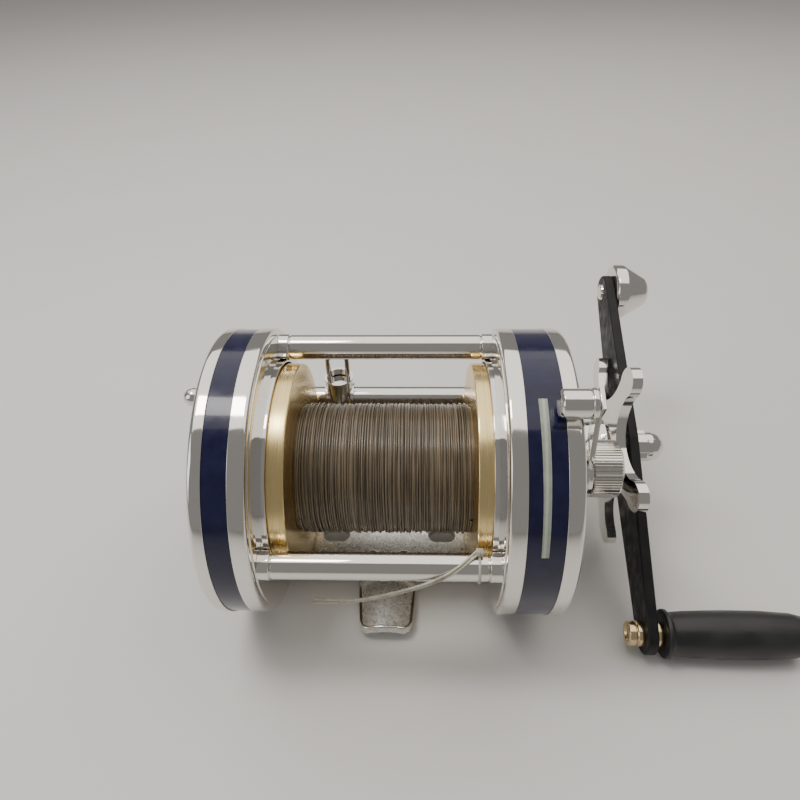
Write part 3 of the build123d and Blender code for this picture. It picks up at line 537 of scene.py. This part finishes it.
def turn_outline(shape, outline, y, z, steps):
    """Revolve a closed outline of (x, r) points about a line along X."""
    loops = []
    for n in range(steps):
        a = 2 * math.pi * n / steps
        places = [(x, y - r * math.cos(a), z + r * math.sin(a)) for x, r in outline]
        loops.append([shape.verts.new(place) for place in places])
    count = len(outline)
    for n in range(steps):
        first = loops[n]
        second = loops[(n + 1) % steps]
        for k in range(count):
            j = (k + 1) % count
            shape.faces.new((first[k], second[k], second[j], first[j]))
    bmesh.ops.recalc_face_normals(shape, faces=shape.faces)


def eased(outline):
    """Replace every (x, r, size) corner by a short arc of that size; 0 stays sharp.

    Millimetres in, metres out.
    """
    points = []
    count = len(outline)
    for k, (x, r, size) in enumerate(outline):
        corner = Vector((x, r))
        if size == 0:
            points.append(corner)
            continue
        before = Vector(outline[k - 1][:2]) - corner
        after = Vector(outline[(k + 1) % count][:2]) - corner
        start = corner + before.normalized() * size
        end = corner + after.normalized() * size
        for i in range(ARC_STEPS + 1):
            t = i / ARC_STEPS
            points.append(start * (1 - t) ** 2 + corner * 2 * t * (1 - t) + end * t**2)
    return [(x * MM, r * MM) for x, r in points]


def lathe(name, node, outline, side=1):
    """A turned piece on the spool axis; side -1 mirrors it to the left."""
    shape = bmesh.new()
    mirrored = [(side * x, r, size) for x, r, size in outline]
    turn_outline(shape, eased(mirrored), *SPOOL_AXIS, LATHE_STEPS)
    return stand_in(from_bmesh(name, shape, 25.0), node)


# Outlines are in millimetres from the middle of the reel: x, radius, size of the eased corner.
RIM_R = 38.0
RING_SEAT_R = 36.0
BORE_R = 28.9
LIP_X, LIP_R = 26.4, 29.5
STEP_X, STEP_R = 27.6, 30.2
RING_FACE_X, RING_BACK_X = 28.4, 31.4
FRAME_RING = [
    (LIP_X, BORE_R, 0.25),
    (LIP_X, LIP_R, 0.3),
    (STEP_X, LIP_R, 0),
    (STEP_X, STEP_R, 0),
    (RING_FACE_X, STEP_R, 0),
    (RING_FACE_X, RING_SEAT_R, 0.3),
    (RING_BACK_X, RING_SEAT_R, 0),
    (RING_BACK_X, BORE_R, 0),
]
INNER_RING_X = (28.7, 32.7)
CRISP = 0.18
INNER_RING = [
    (INNER_RING_X[0], RING_SEAT_R, 0),
    (INNER_RING_X[0], RIM_R, 1.0),
    (INNER_RING_X[1], RIM_R, CRISP),
    (INNER_RING_X[1], RING_SEAT_R, 0),
]
RIM_SEAT_R = 34.5
RIM_ROUND = 1.4


def outer_rim(inner_x, outer_x):
    return [
        (inner_x, RIM_SEAT_R, 0),
        (inner_x, RIM_R, CRISP),
        (outer_x, RIM_R, RIM_ROUND),
        (outer_x, RIM_SEAT_R, RIM_ROUND),
    ]


lathe("left_frame_ring", "left_end_ring", FRAME_RING, -1)
lathe("right_frame_ring", "right_end_ring", FRAME_RING)
lathe("left_inner_ring", "inner_rings", INNER_RING, -1)
lathe("right_inner_ring", "inner_rings", INNER_RING)
lathe("left_rim", "left_outer_rim", outer_rim(38.4, 41.8), -1)
lathe("right_rim", "right_outer_rim", outer_rim(41.2, 45.2))

SPOOL_R = 28.5
SPOOL_X = (-27.4, 27.2)
WINDING_X = (-22.2, 22.8)
WINDING_FLOOR_R = 9.0
SPOOL_EDGE = 0.55
DISH_R = 25.4           # the hollow in each outer face starts here
DISH_X, DISH_LOW_R = 24.8, 24.6
DISH_FLOOR_X = 24.2
BOSS_X, BOSS_R = 25.4, 5.2
BOSS_END_X = 27.4
SPOOL_HOLE_R = 3.0
SPOOL_OUTLINE = [
    (SPOOL_X[0], SPOOL_R, SPOOL_EDGE),
    (WINDING_X[0], SPOOL_R, SPOOL_EDGE),
    (WINDING_X[0], WINDING_FLOOR_R, 0),
    (WINDING_X[1], WINDING_FLOOR_R, 0),
    (WINDING_X[1], SPOOL_R, SPOOL_EDGE),
    (SPOOL_X[1], SPOOL_R, SPOOL_EDGE),
    (SPOOL_X[1], DISH_R, 0.2),
    (DISH_X, DISH_LOW_R, 0.3),
    (DISH_FLOOR_X, WINDING_FLOOR_R, 0),
    (BOSS_X, BOSS_R, 0),
    (BOSS_END_X, BOSS_R, 0),
    (BOSS_END_X, SPOOL_HOLE_R, 0),
    (-BOSS_END_X, SPOOL_HOLE_R, 0),
    (-BOSS_END_X, BOSS_R, 0),
    (-BOSS_X, BOSS_R, 0),
    (-DISH_FLOOR_X, WINDING_FLOOR_R, 0),
    (-DISH_X, DISH_LOW_R, 0.3),
    (SPOOL_X[0], DISH_R, 0.2),
]
lathe("spool_turned", "spool", SPOOL_OUTLINE)

# ---- wound line ----
PACK_TURNS = 74
CROSS_TURNS = 38
STEPS_PER_TURN = 96
CORE_STEPS = 128
CORE_DEPTH = 0.75 * MM      # below the pack's surface
TURNS_DEPTH = 0.52 * MM
CROSS_DEPTH = 0.18 * MM
END_GAP = 0.35 * MM         # from the first and last turn to the spool's rims
CROSS_GAP = 0.5 * MM
STRAY = 0.03 * MM           # how far one turn wanders from its circle


def tube_mesh(name, path, radius, sides=6):
    """A closed tube of constant section along a path of points."""
    shape = bmesh.new()
    loops = []
    for i, point in enumerate(path):
        ahead = path[min(i + 1, len(path) - 1)]
        behind = path[max(i - 1, 0)]
        along = (ahead - behind).normalized()
        outward = Vector((0, point.y - SPOOL_AXIS[0], point.z - SPOOL_AXIS[1])).normalized()
        side = along.cross(outward).normalized()
        loop = []
        for k in range(sides):
            a = 2 * math.pi * k / sides
            offset = math.cos(a) * outward + math.sin(a) * side
            loop.append(shape.verts.new(point + radius * offset))
        loops.append(loop)
    for first, second in zip(loops, loops[1:]):
        for k in range(sides):
            j = (k + 1) % sides
            shape.faces.new((first[k], first[j], second[j], second[k]))
    shape.faces.new(list(reversed(loops[0])))
    shape.faces.new(loops[-1])
    bmesh.ops.recalc_face_normals(shape, faces=shape.faces)
    return from_bmesh(name, shape, 80.0)


def winding_path(turns, x_start, x_end, radius, wobble, seed):
    """A helix whose pitch and height wander a little."""
    rng = random.Random(seed)
    pitch = [1.0 + rng.uniform(-wobble, wobble) for _ in range(turns)]
    lift = [rng.uniform(-0.10, 0.12) * MM for _ in range(turns + 1)]
    total = sum(pitch)
    path = []
    x = x_start
    for n in range(turns):
        step = (x_end - x_start) * pitch[n] / total
        for k in range(STEPS_PER_TURN):
            f = k / STEPS_PER_TURN
            a = 2 * math.pi * f
            r = radius + lift[n] * (1 - f) + lift[n + 1] * f
            r += STRAY * math.sin(3 * a + 1.7 * n)
            drift = STRAY * math.sin(2 * a + 2.3 * n)
            y = SPOOL_AXIS[0] - r * math.cos(a)
            z = SPOOL_AXIS[1] + r * math.sin(a)
            path.append(Vector((x + step * f + drift, y, z)))
        x += step
    return path


def make_line_pack():
    low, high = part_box("line_pack")
    radius = (high.z - low.z) / 2
    core_r = radius - CORE_DEPTH
    floor_r = WINDING_FLOOR_R * MM
    core = bmesh.new()
    outline = [(low.x, floor_r), (low.x, core_r), (high.x, core_r), (high.x, floor_r)]
    turn_outline(core, outline, *SPOOL_AXIS, CORE_STEPS)
    stand_in(from_bmesh("line_core", core), "line_pack")
    left = low.x + END_GAP
    right = high.x - END_GAP
    base = winding_path(PACK_TURNS, left, right, radius - TURNS_DEPTH, wobble=0.10, seed=11)
    stand_in(tube_mesh("line_turns", base, LINE_D / 2), "line_pack")
    left += CROSS_GAP
    right -= CROSS_GAP
    cross = winding_path(CROSS_TURNS, right, left, radius - CROSS_DEPTH, wobble=0.75, seed=5)
    stand_in(tube_mesh("line_crossing_turns", cross, LINE_D / 2), "line_pack")


make_line_pack()

# ---- raised edge round both ends of the foot, in millimetres ----
FOOT_R = 16.0               # the foot's arch over the rod
FOOT_HALF = 29.6
FOOT_HALF_WIDTH = 8.25      # at the middle
FOOT_TAPER = 1.75           # how much narrower each side is at the tip
BEAD_R = 0.55
BEAD_SUNK = 0.1
BEAD_START = 13.5
BEAD_TIP = 29.1
BEAD_CORNER = 2.3
SIDE_STEPS = 25
CORNER_STEPS = 8
TIP_STEPS = 24


def on_foot(x, y):
    return Vector((x, y, math.sqrt(FOOT_R**2 - x**2) - FOOT_R - BEAD_SUNK)) * MM


def half_width(y):
    return FOOT_HALF_WIDTH - FOOT_TAPER * (y / FOOT_HALF) ** 2


def foot_bead(side):
    """Up one edge, round the corner, across the tip and back down the other edge."""
    path = []
    for i in range(SIDE_STEPS):
        y = BEAD_START + (BEAD_TIP - BEAD_CORNER - BEAD_START) * i / (SIDE_STEPS - 1)
        path.append(on_foot(half_width(y), side * y))
    half = half_width(BEAD_TIP)
    for i in range(1, CORNER_STEPS + 1):
        a = math.pi / 2 * i / CORNER_STEPS
        x = half - BEAD_CORNER * (1 - math.cos(a))
        path.append(on_foot(x, side * (BEAD_TIP - BEAD_CORNER * (1 - math.sin(a)))))
    mirrored = [Vector((-p.x, p.y, p.z)) for p in reversed(path)]
    for i in range(1, TIP_STEPS):
        x = (half - BEAD_CORNER) * (1 - 2 * i / TIP_STEPS)
        path.append(on_foot(x, side * BEAD_TIP))
    return path + mirrored


for side, word in ((-1, "near"), (1, "far")):
    bead = tube_mesh("foot_bead_" + word, foot_bead(side), BEAD_R * MM, 12)
    stand_in(bead, "reel_foot", material=soft_chrome)

# ---- everything else keeps its shape and gets its finish ----
for node_name, node_object in NODES.items():
    paint(node_object, finish_of(node_name))
for strand in strands:
    paint(strand, clear_line)
paint(NODES["line_hitch"], clear_line)

# ---- studio ----
FLOOR_Z = cad_box[0][2]
FLOOR_HALF = 3.0


def make_floor():
    shape = bmesh.new()
    bmesh.ops.create_grid(shape, x_segments=8, y_segments=8, size=FLOOR_HALF)
    floor = from_bmesh("floor", shape)
    floor.location = (0, 0, FLOOR_Z)
    p = Paint("floor_paper", roughness=0.55)
    colour = p.blend(p.noise(0.02, 3.0), (0.74, 0.725, 0.70), (0.78, 0.765, 0.74))
    paint(floor, p.set(base_color=colour))


def soft_light(name, place, target, size, power, tint):
    """A rectangular lamp of this size in metres and power in watts, aimed at the target."""
    light = bpy.data.lights.new(name, "AREA")
    light.shape = "RECTANGLE"
    light.size = size[0]
    light.size_y = size[1]
    light.energy = power
    light.color = tint
    lamp = link(bpy.data.objects.new(name, light))
    lamp.location = place
    lamp.rotation_euler = (Vector(target) - Vector(place)).to_track_quat("-Z", "Y").to_euler()


def make_studio():
    make_floor()
    soft_light(
        "ceiling",
        place=(0.0, 0.22, 0.55),
        target=(0, 0.02, 0.03),
        size=(1.1, 0.85),
        power=4.2,
        tint=(1.0, 0.965, 0.91),
    )
    soft_light(
        "window",
        place=(-0.16, 0.02, 0.50),
        target=(0, 0, 0.03),
        size=(0.12, 0.20),
        power=0.9,
        tint=(1.0, 0.97, 0.93),
    )
    soft_light(
        "fill",
        place=(-0.55, -0.25, 0.30),
        target=(0, 0, 0.03),
        size=(0.3, 0.4),
        power=0.6,
        tint=(0.95, 0.97, 1.0),
    )
    world = bpy.data.worlds.new("studio")
    world.use_nodes = True
    ground = world.node_tree.nodes["Background"]
    ground.inputs["Color"].default_value = (0.72, 0.70, 0.68, 1.0)
    ground.inputs["Strength"].default_value = 0.36
    bpy.context.scene.world = world


make_studio()
